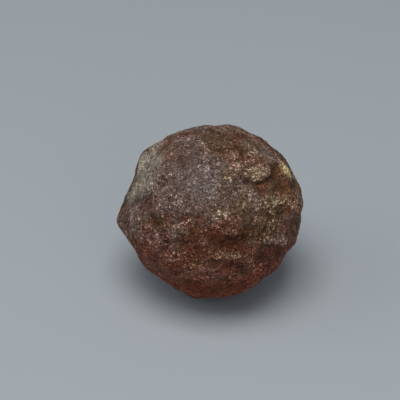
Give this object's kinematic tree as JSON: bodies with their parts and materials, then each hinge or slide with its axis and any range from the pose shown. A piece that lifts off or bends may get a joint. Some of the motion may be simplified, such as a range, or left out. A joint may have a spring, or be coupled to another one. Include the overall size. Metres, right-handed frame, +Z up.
{
  "type": "moqui marble",
  "caption": "Rounded natural ironstone concretion with knobs, ledges and hollows, a blunt lobe on one side and a small worn flat to lie on.",
  "frame": {"origin": "under the middle of the stone's box, on the surface that it lies on", "axes": "+Z up from the worn flat; +X the stone's longest way, away from the blunt lobe; -Y the front, the side that the picture shows"},
  "size_m": [0.0478, 0.0464, 0.045],
  "materials": {
    "iron_crust": "matt gritty iron-oxide crust, dark chocolate brown with fine pale quartz grains"
  },
  "bodies": {
    "root": {"stone": "iron_crust"}
  },
  "joints": []
}
